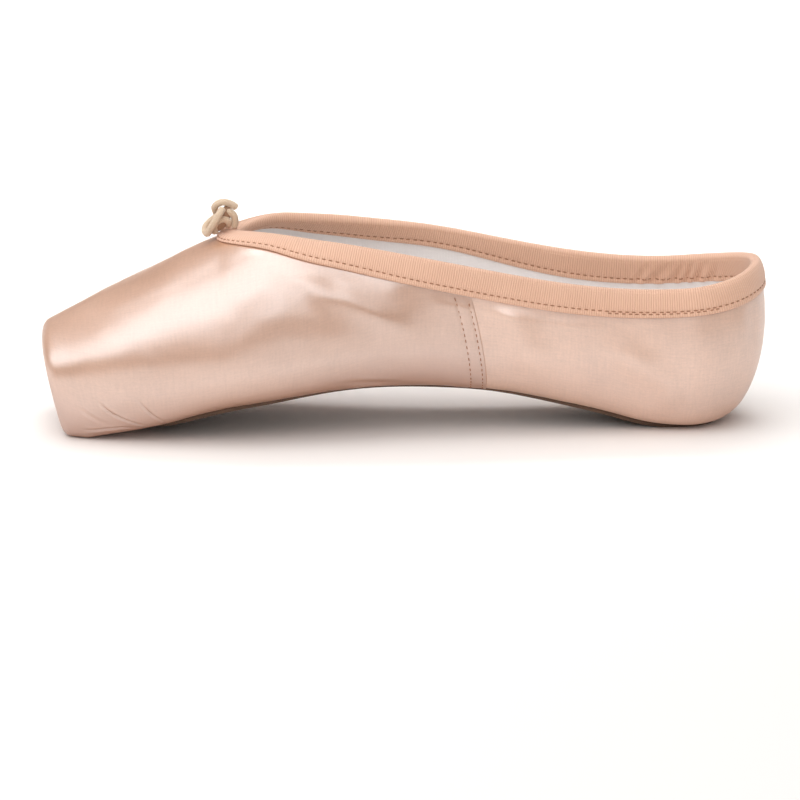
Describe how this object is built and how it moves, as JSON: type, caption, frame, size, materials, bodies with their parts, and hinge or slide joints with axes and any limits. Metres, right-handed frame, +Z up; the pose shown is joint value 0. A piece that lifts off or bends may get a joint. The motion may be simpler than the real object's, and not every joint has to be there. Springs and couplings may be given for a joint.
{
  "type": "pointe shoe",
  "caption": "Satin ballet pointe shoe with a flat toe platform, stiff box, ribbed collar binding, knotted drawstring and thin leather sole.",
  "frame": {"origin": "on the floor, under the middle of the shoe's box, without the drawstring's knot", "axes": "+Z up, +Y towards the heel, -Y towards the toe, +X across; the shoe is mirrored about X = 0 but for its knot"},
  "size_m": [0.0744, 0.2346, 0.0742],
  "materials": {
    "satin": "pink satin, soft sheen",
    "tape": "ribbed cotton tape, matt",
    "sole_leather": "thin brown leather, matt",
    "sock": "pale cotton sock and lining, matt",
    "cord": "cream cotton cord, matt"
  },
  "bodies": {
    "root": {"upper": "satin", "binding": "tape", "outsole": "sole_leather", "insole": "sock", "drawstring-front": "cord", "drawstring-back": "cord"}
  },
  "joints": []
}
